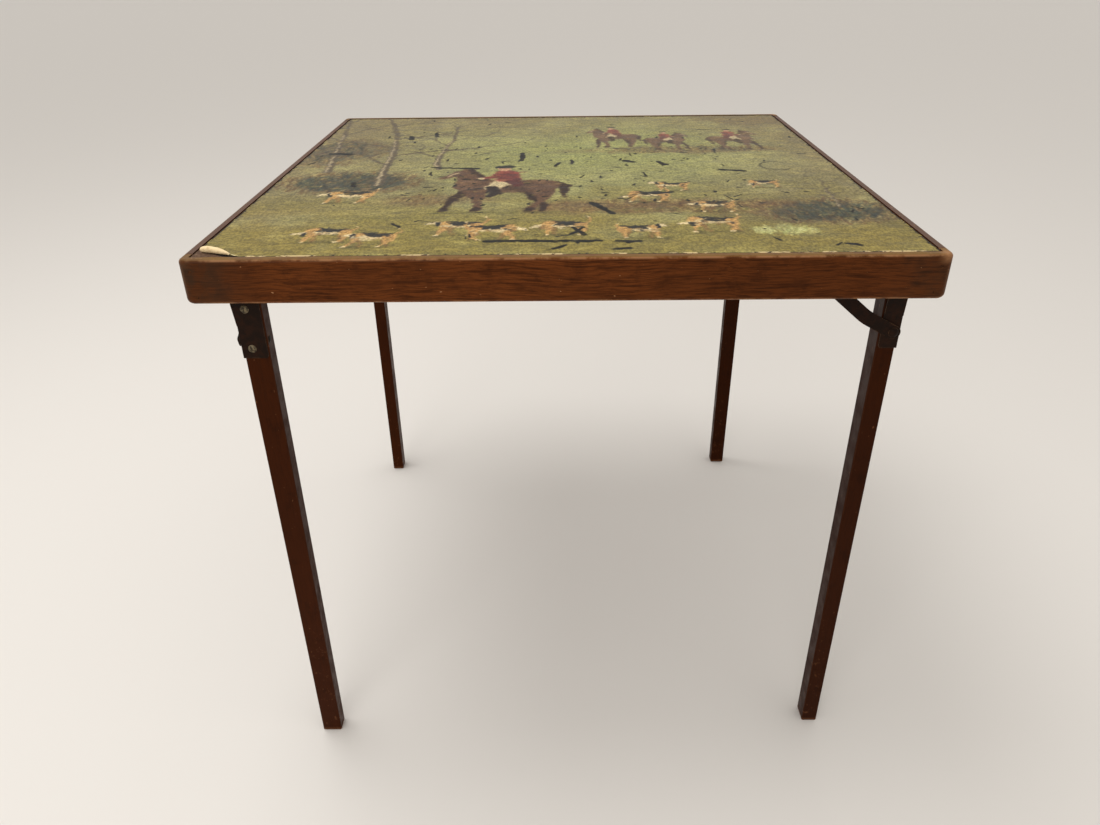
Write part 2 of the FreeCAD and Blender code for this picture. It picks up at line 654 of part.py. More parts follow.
def brace_stud():
    """Headed stud riveted into the strap's end; its head runs behind the track."""
    head_y = TRACK_OUTER_Y - HEAD_CLEARANCE
    shank = rod((STUD[0], head_y, STUD[1]), INWARD, STUD_RADIUS, STRAP_INNER_Y - head_y)
    head = aimed(dome(STUD_HEAD_RADIUS, STUD_HEAD_HEIGHT), (STUD[0], head_y, STUD[1]), OUTWARD)
    tail = aimed(dome(STUD_TAIL_RADIUS, STUD_TAIL_HEIGHT), (STUD[0], STRAP_INNER_Y, STUD[1]), INWARD)
    return shank.fuse([head, tail])


# ---- write the pieces -----------------------------------------------------------------
def grouped(per_corner):
    """The front right corner's fasteners and their copies at the other three corners."""
    return Part.makeCompound([turned_to(item, corner) for corner in CORNERS for item in per_corner])


def write_frame():
    """Rails, top and the fasteners that hold them and the hardware."""
    front = front_rail()
    save("rail_front", front)
    save("rail_right", side_rail("back_right"))
    save("rail_back", turned_to(front, "back_left"))
    save("rail_left", side_rail("front_left"))
    save("top_panel", top_panel())
    save("print_sheet", print_sheet())
    save("rail_nails", Part.makeCompound(rail_nails()))
    bracket, track = corner_screws(flat_screw())
    save("bracket_screws", grouped(bracket))
    save("track_screws", grouped(track))


def write_corners():
    """Each corner's hinge, leg and brace."""
    pieces = {
        "hinge_bracket": hinge_bracket(),
        "pivot_pin": pivot_pin(),
        "brace_track": brace_track(),
        "leg": drilled_leg(),
        "leg_plate": leg_plate(),
        "leg_plate_screws": Part.makeCompound(leg_plate_screws()),
        "brace_rivet": brace_rivet(),
        "brace": brace(),
        "brace_stud": brace_stud(),
    }
    for name, shape in pieces.items():
        for corner in CORNERS:
            save(name + "_" + corner, turned_to(shape, corner))


os.makedirs("parts", exist_ok=True)
write_frame()
write_corners()
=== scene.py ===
"""Folding table with a printed top: materials, the printed sheet, floor, lights and camera."""

import itertools
import math
from types import SimpleNamespace

import bpy
import numpy as np
from mathutils import Matrix, Vector


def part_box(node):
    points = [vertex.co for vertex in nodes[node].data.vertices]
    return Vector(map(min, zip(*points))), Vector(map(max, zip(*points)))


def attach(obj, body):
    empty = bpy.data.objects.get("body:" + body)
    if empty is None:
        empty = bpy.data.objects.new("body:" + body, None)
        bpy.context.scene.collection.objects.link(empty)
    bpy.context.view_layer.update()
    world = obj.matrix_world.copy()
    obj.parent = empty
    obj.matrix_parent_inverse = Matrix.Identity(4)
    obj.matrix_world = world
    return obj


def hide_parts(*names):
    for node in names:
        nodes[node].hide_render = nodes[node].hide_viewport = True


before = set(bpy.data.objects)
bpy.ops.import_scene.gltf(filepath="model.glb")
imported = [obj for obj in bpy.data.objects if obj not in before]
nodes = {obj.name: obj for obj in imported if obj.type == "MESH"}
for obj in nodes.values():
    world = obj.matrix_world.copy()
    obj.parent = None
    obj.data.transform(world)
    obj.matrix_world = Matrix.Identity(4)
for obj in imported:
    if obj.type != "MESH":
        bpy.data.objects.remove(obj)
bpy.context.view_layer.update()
CORNERS = ("front_right", "back_right", "back_left", "front_left")
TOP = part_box("rail_front")[1].z


# ---------------------------------------------------------------- shader helpers


class Tree:
    """A material's node tree, with short calls that add and link nodes."""

    def __init__(self, name):
        self.material = bpy.data.materials.new(name)
        self.material.use_nodes = True
        self.nodes = self.material.node_tree.nodes
        self.links = self.material.node_tree.links
        self.nodes.clear()
        self.output = self.nodes.new("ShaderNodeOutputMaterial")

    def feed(self, socket, value):
        """Links value to the socket if it is a socket itself, or else sets it there."""
        if isinstance(value, bpy.types.NodeSocket):
            self.links.new(value, socket)
        else:
            socket.default_value = value

    def add(self, kind, settings=None, **inputs):
        """A new node of that kind, with its settings and its inputs by name."""
        node = self.nodes.new("ShaderNode" + kind)
        for key, value in (settings or {}).items():
            setattr(node, key, value)
        for key, value in inputs.items():
            self.feed(node.inputs[key.replace("_", " ")], value)
        return node

    def place(self, scale=(1, 1, 1)):
        """Object coordinates, stretched: a small scale draws the pattern out."""
        coordinates = self.add("TexCoord").outputs["Object"]
        return self.add("Mapping", Vector=coordinates, Scale=scale).outputs[0]

    def noise(self, vector, scale, detail=3.0, rough=0.55):
        """Fractal noise, mostly from 0.3 to 0.7."""
        node = self.add("TexNoise", Vector=vector, Scale=scale, Detail=detail, Roughness=rough)
        return node.outputs["Fac"]

    def ramp(self, value, low, high, start=0.0, end=1.0):
        """Goes smoothly from start to end while value goes from low to high."""
        return self.add(
            "MapRange",
            {"interpolation_type": "SMOOTHSTEP"},
            Value=value,
            **{"From_Min": low, "From_Max": high, "To_Min": start, "To_Max": end},
        ).outputs[0]

    def fill(self, kind, settings, *values):
        """A new node whose inputs are filled in order, for nodes that repeat input names."""
        node = self.add(kind, settings)
        for socket, value in zip(node.inputs, values):
            self.feed(socket, value)
        return node

    def math(self, operation, *values):
        return self.fill("Math", {"operation": operation}, *values).outputs[0]

    def times(self, first, *others):
        """The product of two or more values."""
        for other in others:
            first = self.math("MULTIPLY", first, other)
        return first

    def shade(self, tint, factor):
        """A colour made lighter or darker without changing its hue."""
        return self.add("VectorMath", {"operation": "SCALE"}, Vector=tint, Scale=factor).outputs[0]

    def largest(self, *values):
        """The largest of the values' sizes, whatever their signs."""
        sizes = [self.math("ABSOLUTE", value) for value in values]
        for size in sizes[1:]:
            sizes[0] = self.math("MAXIMUM", sizes[0], size)
        return sizes[0]

    def dot(self, first, second):
        node = self.fill("VectorMath", {"operation": "DOT_PRODUCT"}, first, second)
        return node.outputs["Value"]

    def mix(self, factor, first, second):
        """The first colour at factor 0, the second at 1. A colour Mix has its inputs at 0, 6, 7."""
        node = self.add("Mix", {"data_type": "RGBA"})
        self.feed(node.inputs[0], factor)
        self.feed(node.inputs[6], first)
        self.feed(node.inputs[7], second)
        return node.outputs[2]

    def bump(self, height, distance, strength):
        return self.add("Bump", Height=height, Distance=distance, Strength=strength).outputs[0]

    def edge(self, radius):
        """1 along the piece's sharp edges, 0 on its flats."""
        flat = self.add("NewGeometry").outputs["Normal"]
        rounded = self.add("Bevel", {"samples": 6}, Radius=radius).outputs[0]
        return self.ramp(self.dot(flat, rounded), 0.9, 0.985, 1.0, 0.0)

    def place_waved(self, scale, reach, period):
        """Stretched coordinates that wander by up to reach, as grain does round a knot."""
        straight = self.add("TexCoord").outputs["Object"]
        wander = self.add("TexNoise", Vector=straight, Scale=1 / period, Detail=2.0).outputs["Color"]
        settings = {"operation": "MULTIPLY_ADD"}
        moved = self.fill("VectorMath", settings, wander, (2 * reach,) * 3, straight).outputs[0]
        return self.add("Mapping", Vector=moved, Scale=scale).outputs[0]

    def finish(self, **inputs):
        """Joins a Principled shader with those inputs to the output."""
        shader = self.add("BsdfPrincipled", **inputs)
        self.links.new(shader.outputs[0], self.output.inputs["Surface"])
        return self.material


def colour(red, green, blue):
    """An sRGB colour given from 0 to 255, as the linear colour that a socket takes."""

    def linear(value):
        value /= 255
        return value / 12.92 if value <= 0.04045 else ((value + 0.055) / 1.055) ** 2.4

    return (linear(red), linear(green), linear(blue), 1.0)


# ---------------------------------------------------------------- the picture

PAPER_HALF = 370.0  # mm, half of the print's side
COUNT = 1472  # the canvas's own pixels along a side, a multiple of the coarsest cell
PIXEL = 2 * PAPER_HALF / COUNT
SEED = 41


def rgb(red, green, blue):
    """An sRGB colour given from 0 to 255, as paint from 0 to 1."""
    return np.array((red, green, blue), float) / 255


class Canvas:
    """A square picture, painted in millimetres: x runs to the right and y away from the front."""

    def __init__(self, ground):
        self.axis = (np.arange(COUNT) + 0.5) * PIXEL - PAPER_HALF
        self.paint = np.empty((COUNT, COUNT, 3))
        self.paint[:] = ground
        self.detail = np.zeros((COUNT, COUNT), np.uint8)

    def window(self, low, high):
        """The pixels between two places along a side."""
        first = int(max(0, (low + PAPER_HALF) / PIXEL))
        last = int(min(len(self.axis), (high + PAPER_HALF) / PIXEL + 1))
        return slice(first, max(first, last))

    def stroke(self, points, widths, tint, strength=1.0, soft=0.8, detail=0):
        """A stroke through the points, as wide as twice the width given at each of them."""
        points = np.atleast_2d(np.array(points, float))
        widths = np.broadcast_to(np.array(widths, float), (len(points),))
        margin = widths.max() + soft
        columns = self.window(points[:, 0].min() - margin, points[:, 0].max() + margin)
        rows = self.window(points[:, 1].min() - margin, points[:, 1].max() + margin)
        x, y = self.axis[columns][None, :], self.axis[rows][:, None]
        if x.size == 0 or y.size == 0:
            return
        if len(points) == 1:
            depth = widths[0] - np.hypot(x - points[0, 0], y - points[0, 1])
        else:
            depth = np.full((y.size, x.size), -1e9)
        for start, end, near, far in zip(points, points[1:], widths, widths[1:]):
            run = end - start
            reach = ((x - start[0]) * run[0] + (y - start[1]) * run[1]) / max(run @ run, 1e-9)
            reach = np.clip(reach, 0, 1)
            away = np.hypot(x - start[0] - reach * run[0], y - start[1] - reach * run[1])
            depth = np.maximum(depth, near + (far - near) * reach - away)
        cover = strength * np.clip(depth / soft + 0.5, 0, 1)[..., None]
        area = self.paint[rows, columns]
        area += (tint - area) * cover
        marks = self.detail[rows, columns]
        np.maximum(marks, np.where(cover[..., 0] > 0.05, detail, 0), out=marks, casting="unsafe")

    def wash(self, cover, tint):
        """Lays a tint over the whole canvas, as thickly as cover says."""
        self.paint += (tint - self.paint) * cover[..., None]

    def mass(self, centre, size, tint, strength, grain):
        """A soft patch of colour with a ragged outline."""
        x = (self.axis[None, :] - centre[0]) / size[0]
        y = (self.axis[:, None] - centre[1]) / size[1]
        depth = 1 - np.hypot(x, y) + 0.9 * (grain - 0.5)
        self.wash(strength * np.clip(depth / 0.55, 0, 1), tint)

    def ripple(self, random, reach, period):
        """Shifts the paint about by up to reach, so that no outline stays clean."""
        row, column = np.mgrid[0:COUNT, 0:COUNT]
        push = [(cloud(random, COUNT, period, 3) - 0.5) * 2 * reach / PIXEL for _ in (0, 1)]
        row = np.clip(np.rint(row + push[0]).astype(int), 0, COUNT - 1)
        column = np.clip(np.rint(column + push[1]).astype(int), 0, COUNT - 1)
        self.paint = self.paint[row, column]
        self.detail = self.detail[row, column]


def cloud(random, size, period, octaves=4):
    """Smooth fractal noise from 0 to 1 on a square of pixels."""
    total, weight, scale = np.zeros((size, size)), 0.0, 1.0
    for octave in range(octaves):
        cells = max(2, round(size * PIXEL / period * 2**octave))
        grid = random.random((cells + 2, cells + 2))
        at = np.linspace(0, cells, size, endpoint=False)
        base = at.astype(int)
        part = at - base
        part = part * part * (3 - 2 * part)
        rows = grid[base] * (1 - part[:, None]) + grid[base + 1] * part[:, None]
        total += scale * (rows[:, base] * (1 - part) + rows[:, base + 1] * part)
        weight += scale
        scale *= 0.5
    total /= weight
    return np.clip((total - 0.5) * 1.9 + 0.5, 0, 1)


class Figure:
    """Draws in a figure's own units, placed on the canvas. A negative stretch turns it round."""

    def __init__(self, canvas, foot, size, stretch=1.0, fade=0.0, haze=None, detail=4):
        self.canvas, self.foot, self.size, self.stretch = canvas, foot, size, stretch
        self.fade, self.haze, self.detail = fade, haze, detail

    def draw(self, points, widths, tint, strength=1.0, soft=0.02):
        if self.haze is not None:
            tint = tint + (self.haze - tint) * self.fade
        placed = [
            (self.foot[0] + x * self.size * self.stretch, self.foot[1] + y * self.size)
            for x, y in points
        ]
        grown = np.array(widths, float) * self.size * math.sqrt(abs(self.stretch))
        self.canvas.stroke(
            placed, grown, tint, strength, max(0.8, soft * self.size), self.detail
        )


TAN, CREAM, SADDLE = rgb(182, 140, 84), rgb(212, 190, 142), rgb(40, 40, 38)
COAT, COAT_SHADE = rgb(126, 62, 52), rgb(86, 44, 40)
BAY, BAY_DARK, BAY_LIGHT = rgb(94, 68, 50), rgb(52, 36, 28), rgb(142, 110, 80)


def hound(figure, stride, head, tail, ear):
    """A hound seen from the side, facing +x in its own units."""
    far = TAN * 0.72
    for hip, foot in ((-0.36, -0.36 - stride), (0.26, 0.24 - stride)):
        knee = (hip + foot) / 2 + (0.06 if hip < 0 else 0.0)
        figure.draw([(hip, 0.46), (knee, 0.24), (foot, 0.03)], [0.07, 0.04, 0.028], far)
    figure.draw([(-0.4, 0.56), (-0.1, 0.53), (0.28, 0.58)], [0.14, 0.125, 0.165], TAN)
    figure.draw([(-0.2, 0.46), (0.2, 0.46)], [0.07, 0.09], CREAM, 0.8, 0.06)
    figure.draw([(-0.38, 0.62), (-0.05, 0.6), (0.22, 0.66)], [0.11, 0.11, 0.12], SADDLE, 0.95)
    figure.draw([(-0.42, 0.54), (-0.42, 0.38)], [0.13, 0.09], TAN)
    figure.draw([(0.28, 0.56), (0.29, 0.42)], [0.12, 0.08], CREAM, 0.9)
    for hip, foot in ((-0.42, -0.42 + stride), (0.3, 0.3 + stride)):
        hock = (hip + foot) / 2 - (0.07 if hip < 0 else -0.02)
        figure.draw([(hip, 0.42), (hock, 0.2), (foot, 0.02)], [0.08, 0.042, 0.03], TAN)
        figure.draw([(foot, 0.03), (foot + 0.05, 0.01)], [0.032, 0.024], CREAM)
    x, y = head
    throat = (0.32 + 0.6 * (x - 0.32), 0.64 + 0.7 * (y - 0.64))
    figure.draw([(0.32, 0.64), throat, head], [0.13, 0.1, 0.09], TAN)
    figure.draw([head, (x + 0.12, y - 0.03), (x + 0.2, y - 0.07)], [0.088, 0.062, 0.04], CREAM)
    figure.draw([(x - 0.03, y + 0.02), (x - 0.05, y - 0.12)], [0.045, 0.05], ear)
    figure.draw([(x + 0.21, y - 0.06)], [0.018], SADDLE)
    rise = [(-0.52, 0.62), (-0.62, 0.62 + 0.5 * tail), (-0.6 + 0.06 * tail, 0.62 + tail)]
    figure.draw(rise, [0.035, 0.028, 0.014], TAN)
    figure.draw(rise[2:] + [(-0.56, 0.68 + tail)], [0.016, 0.012], CREAM)


def horse(figure, stride):
    """A bay horse seen from the side, facing +x."""
    for hip, foot in ((-0.3, -0.3 - stride), (0.36, 0.42 + stride)):
        knee = (hip + foot) / 2 + 0.05
        figure.draw(
            [(hip, 0.62), (knee, 0.4), (foot, 0.2), (foot + 0.02, 0.03)],
            [0.1, 0.05, 0.032, 0.036], BAY_DARK,
        )
    figure.draw([(-0.54, 0.92), (-0.63, 0.78), (-0.62, 0.42)], [0.04, 0.062, 0.015], BAY_DARK)
    figure.draw([(-0.3, 0.8), (0, 0.75), (0.3, 0.79)], [0.205, 0.19, 0.215], BAY)
    figure.draw([(-0.25, 0.68), (0.2, 0.66)], [0.1, 0.1], BAY_DARK, 0.45, 0.1)
    figure.draw([(-0.4, 0.84), (-0.39, 0.62)], [0.17, 0.13], BAY)
    figure.draw([(-0.38, 0.93), (-0.3, 0.92)], [0.06, 0.05], BAY_LIGHT, 0.55, 0.08)
    figure.draw([(0.32, 0.9), (0.43, 1.15), (0.47, 1.3)], [0.2, 0.125, 0.085], BAY)
    figure.draw([(0.4, 0.92), (0.36, 0.7)], [0.1, 0.08], BAY_LIGHT, 0.45, 0.1)
    figure.draw([(0.46, 1.34), (0.6, 1.2), (0.7, 1.08)], [0.078, 0.06, 0.04], BAY)
    figure.draw([(0.56, 1.26), (0.66, 1.14)], [0.02, 0.016], CREAM, 0.7)
    figure.draw([(0.42, 1.38), (0.43, 1.47)], [0.028, 0.01], BAY_DARK)
    figure.draw([(0.42, 1.36), (0.3, 1.16), (0.22, 0.98)], [0.03, 0.036, 0.02], BAY_DARK, 0.85)
    figure.draw([(0.58, 1.17), (0.4, 1.02), (0.2, 1.0)], [0.008, 0.008, 0.008], BAY_DARK)
    for hip, foot in ((-0.4, -0.42 + stride), (0.3, 0.3 - 0.6 * stride)):
        hock = (hip + foot) / 2 - (0.06 if hip < 0 else 0.0)
        figure.draw(
            [(hip, 0.6), (hock, 0.36), (foot, 0.12), (foot + 0.02, 0.03)],
            [0.12, 0.05, 0.034, 0.04], BAY,
        )
        figure.draw([(foot + 0.01, 0.09), (foot + 0.04, 0.02)], [0.036, 0.04], BAY_DARK)


def rider(figure, lean):
    """A generic rider in a red coat, on the horse's back."""
    figure.draw([(0.0, 0.98), (0.13, 0.74)], [0.11, 0.085], CREAM * 0.95)
    figure.draw([(0.13, 0.74), (0.08, 0.54), (0.15, 0.46)], [0.062, 0.05, 0.036], BAY_DARK * 0.8)
    figure.draw([(-0.04, 1.02), (lean, 1.26)], [0.115, 0.12], COAT)
    figure.draw([(-0.07, 0.98), (-0.13, 0.82)], [0.09, 0.05], COAT_SHADE)
    figure.draw([(lean - 0.06, 1.24), (lean - 0.07, 1.06)], [0.05, 0.06], COAT_SHADE, 0.6, 0.05)
    figure.draw([(lean + 0.03, 1.29), (0.12, 1.12), (0.27, 1.06)], [0.062, 0.05, 0.036], COAT)
    figure.draw([(0.28, 1.06)], [0.032], CREAM * 0.92)
    figure.draw([(lean + 0.02, 1.37), (lean + 0.04, 1.44)], [0.045, 0.062], rgb(196, 148, 112))
    figure.draw([(lean - 0.01, 1.5), (lean + 0.07, 1.49)], [0.064, 0.052], SADDLE)
    figure.draw([(lean + 0.06, 1.47), (lean + 0.12, 1.455)], [0.014, 0.012], SADDLE)


def bough(canvas, random, start, angle, length, width, tint, levels, detail):
    """A branch that wanders, thins and forks."""
    points, at = [np.array(start, float)], angle
    for _ in range(4):
        at += random.normal(0, 0.13)
        points.append(points[-1] + length / 4 * np.array((math.cos(at), math.sin(at))))
    widths = np.linspace(width, width * 0.55, 5)
    canvas.stroke(points, widths, tint, 0.85, 1.2, detail)
    if levels:
        for side in (-1, 1):
            turn = side * random.uniform(0.25, 0.75)
            begin = points[4 if side == 1 else 3]
            bough(
                canvas, random, begin, at + turn, length * random.uniform(0.55, 0.8),
                width * 0.52, tint, levels - 1, detail,
            )


def thicket(canvas, random, centre, spread, count, height, tints, strength, lean=0.0, detail=0):
    """Many thin, bending stems and leaves inside a soft oval."""
    for _ in range(count):
        angle, reach = random.uniform(0, 2 * math.pi), math.sqrt(random.random())
        x = centre[0] + spread[0] * reach * math.cos(angle)
        y = centre[1] + spread[1] * reach * math.sin(angle)
        rise = height * random.uniform(0.4, 1.0)
        drift = rise * (lean + random.normal(0, 0.45))
        tint = tints[random.integers(len(tints))] * random.uniform(0.88, 1.1)
        stem = [(x, y), (x + 0.35 * drift, y + 0.55 * rise), (x + drift, y + rise)]
        widths = [random.uniform(0.7, 1.3), 0.8, 0.35]
        canvas.stroke(stem, widths, tint, strength * random.uniform(0.4, 1.0), 1.0, detail)


def meadow(canvas, random):
    """Grassland, brightest near the middle and browner at its edges. Returns its fine noise."""
    size = len(canvas.axis)
    x, y = canvas.axis[None, :], canvas.axis[:, None]
    broad, fine = cloud(random, size, 260), cloud(random, size, 60)
    bright = np.exp(-(((x - 60) / 230) ** 2) - ((y - 90) / 210) ** 2) + 0.35 * (broad - 0.5)
    canvas.wash(np.clip(bright, 0, 1) * 0.85, rgb(146, 148, 88))
    edge = np.clip(np.maximum(np.abs(x) / 370, y / 390) * 1.6 - 0.75 + 0.9 * (broad - 0.5), 0, 1)
    canvas.wash(edge * 0.65, rgb(122, 104, 74))
    near = np.clip((-y - 120) / 180 + 0.8 * (fine - 0.5), 0, 1)
    canvas.wash(near * 0.8, rgb(132, 116, 56))
    canvas.wash(np.clip(fine * 1.6 - 0.75, 0, 1) * 0.3, rgb(118, 112, 70))
    canvas.wash(np.clip(0.45 - fine, 0, 1) * 0.7, rgb(172, 166, 108))
    return fine


# Centre, size, stems, height, strength and how brown, in millimetres on the canvas.
COPSES = (
    ((300, -232), (104, 62), 600, 27, 0.62, 0.2),
    ((-276, -84), (116, 72), 680, 30, 0.62, 0.2),
    ((-330, 96), (84, 120), 320, 34, 0.55, 0.4),
    ((176, 96), (170, 28), 400, 20, 0.5, 0.8),
    ((112, -206), (180, 32), 600, 30, 0.55, 1.0),
    ((-150, -170), (80, 28), 200, 20, 0.45, 1.0),
    ((310, 320), (120, 50), 120, 12, 0.3, 0.8),
)


def copses(canvas, random, fine):
    """Banks with bushes on them, and one tuft of straw."""
    cool = (rgb(52, 62, 60), rgb(70, 76, 62), rgb(44, 50, 46), rgb(78, 62, 42))
    warm = (rgb(104, 72, 46), rgb(70, 50, 34), rgb(168, 146, 96), rgb(110, 88, 56))
    for centre, size, stems, height, strength, brown in COPSES:
        bank = rgb(86, 84, 68) * (1 - brown) + rgb(118, 92, 62) * brown
        canvas.mass(centre, size, bank, strength, fine)
        wide = (size[0] * 0.85, size[1] * 0.8)
        thicket(canvas, random, centre, wide, stems, height, warm, 1.1 * strength, 0.1, 2)
        narrow = (size[0] * 0.6, size[1] * 0.55)
        stems = round(stems * (1 - brown))
        thicket(canvas, random, centre, narrow, stems, height, cool, 1.2 * strength, 0.1, 2)
    straw = (rgb(204, 200, 136), rgb(172, 176, 108))
    thicket(canvas, random, (236, -300), (36, 14), 130, 20, straw, 0.8, 0.0, 2)


def grown_tree(canvas, random, foot, height, width):
    """A bare tree: a wandering trunk with a light side, forking on both sides."""
    bark, pale = rgb(88, 76, 60), rgb(204, 184, 142)
    steps = 8
    lean = random.normal(0, 0.1)
    points = [np.array(foot, float)]
    for _ in range(steps):
        lean = 0.8 * lean + random.normal(0, 0.07)
        points.append(points[-1] + height / steps * np.array((lean, 1.0)))
    widths = np.linspace(width, width * 0.4, steps + 1)
    canvas.stroke(points, widths, bark, 0.88, 1.6, 3)
    lit = [point - (0.3 * width, 0) for point in points[:6]]
    canvas.stroke(lit, widths[:6] * 0.3, pale, 0.65, 1.2, 3)
    for k in range(2, steps + 1):
        angle = math.pi / 2 + (-1) ** k * random.uniform(0.5, 1.1)
        reach = height * random.uniform(0.14, 0.24)
        bough(canvas, random, points[k], angle, reach, widths[k] * 0.55, bark * 0.95, 2, 3)


# Foot, height and trunk's half width.
TREES = (
    ((-236, -92), 450, 7.0),
    ((-318, -20), 400, 5.6),
    ((-168, -10), 300, 4.4),
    ((318, -206), 120, 2.4),
)


def grass(canvas, random, count):
    """Short, soft blades over the whole meadow."""
    for _ in range(count):
        x, y = random.uniform(-368, 368, 2)
        base = canvas.paint[canvas.window(y, y).start, canvas.window(x, x).start]
        tint = base * random.choice((0.7, 0.82, 1.12, 1.22))
        rise, drift = random.uniform(2, 8), random.normal(0, 5)
        canvas.stroke([(x, y), (x + drift, y + rise)], [1.5, 0.5], tint, 0.5, 1.0, 0)


def brindle(figure, random, tints, low, high, count, strength):
    """Broken dabs of other colours over a figure's coat."""
    for _ in range(count):
        x, y = random.uniform(low, high)
        end = (x + random.normal(0, 0.08), y + random.normal(0, 0.06))
        tint = tints[random.integers(len(tints))]
        figure.draw([(x, y), end], [random.uniform(0.02, 0.045), 0.012], tint, strength)


# Each row's place across, its two ends, its hounds and their size.
HOUND_ROWS = (
    (-118, 90, 300, 2, 46),
    (-212, 60, 250, 2, 54),
    (-214, -310, -200, 1, 54),
    (-308, -320, 190, 7, 60),
)


def pack_of_hounds(canvas, random):
    """A loose pack in a few rows, each hound with its own stride, head and tail."""
    for y, first, last, count, size in HOUND_ROWS:
        for k in range(count):
            x = first + (last - first) * (k + 0.5) / count + random.normal(0, 0.3 * size)
            foot = (x, y + random.normal(0, 0.3 * size))
            way = -1 if random.random() < 0.7 else 1
            head = (random.uniform(0.44, 0.55), random.uniform(0.36, 0.9))
            stride, tail = random.uniform(0.04, 0.17), random.uniform(0.12, 0.38)
            shade = [(x - size * 0.35, foot[1]), (x + size * 0.4, foot[1])]
            canvas.stroke(shade, [3.5, 2.5], rgb(76, 70, 40), 0.6, 4.0)
            figure = Figure(canvas, foot, size * random.uniform(1.05, 1.35), 0.72 * way)
            ear = SADDLE if random.random() > 0.5 else TAN * 0.8
            hound(figure, stride, head, tail, ear)
            brindle(figure, random, (TAN * 0.7, SADDLE, CREAM), (-0.46, 0.36), (0.4, 0.56), 12, 0.75)
            brindle(figure, random, (SADDLE, TAN * 0.5), (-0.4, 0.56), (0.25, 0.74), 8, 0.8)


def riders(canvas, random):
    """One rider left of the middle, and others far off along the bank."""
    canvas.stroke([(-150, -222), (0, -222)], [4.0, 3.0], rgb(84, 80, 46), 0.6, 6.0)
    figure = Figure(canvas, (-72, -218), 146, -0.82)
    horse(figure, 0.12)
    brindle(figure, random, (BAY_DARK, BAY_LIGHT, BAY * 0.8), (-0.5, 0.55), (0.45, 0.98), 60, 0.35)
    rider(figure, 0.02)
    brindle(figure, random, (COAT_SHADE, COAT * 1.15), (-0.1, 1.0), (0.1, 1.3), 16, 0.5)
    haze = rgb(146, 134, 106)
    for k in range(3):
        foot = (84 + 92 * k + random.normal(0, 16), 66 + random.uniform(-14, 60))
        way = random.choice((-1, 1))
        figure = Figure(canvas, foot, random.uniform(84, 104), 0.58 * way, 0.24, haze, 3)
        horse(figure, random.uniform(0.04, 0.14))
        rider(figure, 0.02)


# The longer scratches: start, end and width.
SCRATCHES = (
    ((-80, -326), (38, -328), 2.3),
    ((55, -329), (78, -330), 2.0),
    ((-178, 0), (-116, -8), 2.2),
    ((-56, 84), (-56, 38), 2.0),
    ((-202, 240), (-198, 212), 2.0),
    ((-238, 215), (-236, 190), 2.2),
    ((34, -184), (56, -228), 2.6),
    ((212, -26), (242, -34), 2.4),
    ((-338, 92), (-312, 90), 3.6),
    ((90, 30), (100, 24), 3.4),
    ((134, 24), (142, 8), 3.0),
    ((-268, -80), (-266, -98), 2.0),
    ((112, -145), (134, -138), 1.8),
    ((10, -280), (22, -306), 1.6),
    ((22, -280), (8, -306), 1.4),
    ((-10, -352), (2, -340), 1.4),
    ((50, -354), (66, -352), 1.6),
    ((286, -342), (298, -348), 1.8),
    ((-178, -276), (-188, -262), 1.2),
    ((-2, 24), (-10, 0), 1.4),
    ((14, 40), (14, 16), 1.2),
)


def marks(canvas, random):
    """Scratches, flaked spots and a ring down to the dark board, and the torn edge's pale paper."""
    dark = rgb(20, 18, 12)
    for start, end, width in SCRATCHES:
        run = np.array(end, float) - start
        side = np.array((-run[1], run[0])) / np.hypot(*run)
        steps = max(3, int(np.hypot(*run) / 5))
        points = [start + run * k / steps + side * random.normal(0, 0.7) for k in range(steps + 1)]
        widths = 2.1 * width * random.uniform(0.55, 1.0, steps + 1)
        canvas.stroke(points, widths, dark, 1.0, 0.7, 4)
    for _ in range(230):
        start = random.uniform(-360, 360, 2)
        if random.random() < 0.6:
            start = start * (0.6, 0.45) + (20, -30)
        turn = random.choice((0.0, 1.4, 1.6)) + random.normal(0, 0.35)
        length, width = random.gamma(2.0, 3.0) + 1.0, random.uniform(0.8, 2.4)
        end = start + length * np.array((math.cos(turn), math.sin(turn)))
        canvas.stroke([start, end], [width, width * 0.5], dark, 1.0, 0.7, 4)
    tear = [TEAR_START + TEAR_RUN * along - TEAR_OUT * 0.9 for along in np.arange(0, 34, 2.0)]
    canvas.stroke(tear, random.uniform(0.2, 1.3, len(tear)), rgb(222, 204, 160), 0.9, 0.6, 4)
    ring = [(292 + 22 * math.cos(a), -6 + 24 * math.sin(a)) for a in np.linspace(0.9, 5.4, 14)]
    canvas.stroke(ring, [1.0] * 14, dark, 0.75, 0.8, 3)


def picture():
    """A country scene of no particular place: a meadow, trees, hounds and riders."""
    random = np.random.default_rng(SEED)
    canvas = Canvas(rgb(138, 130, 86))
    fine = meadow(canvas, random)
    grass(canvas, random, 9000)
    copses(canvas, random, fine)
    for foot, height, width in TREES:
        grown_tree(canvas, random, foot, height, width)
    riders(canvas, random)
    pack_of_hounds(canvas, random)
    tufts = (rgb(150, 142, 84), rgb(104, 98, 52), rgb(84, 78, 44))
    for centre, spread in (((60, -318), (240, 12)), ((-190, -246), (140, 10)), ((170, -216), (120, 8))):
        thicket(canvas, random, centre, spread, 170, 10, tufts, 0.65)
    canvas.ripple(random, 1.8, 8)
    canvas.ripple(random, 0.9, 3)
    marks(canvas, random)
    return canvas


# ---------------------------------------------------------------- materials

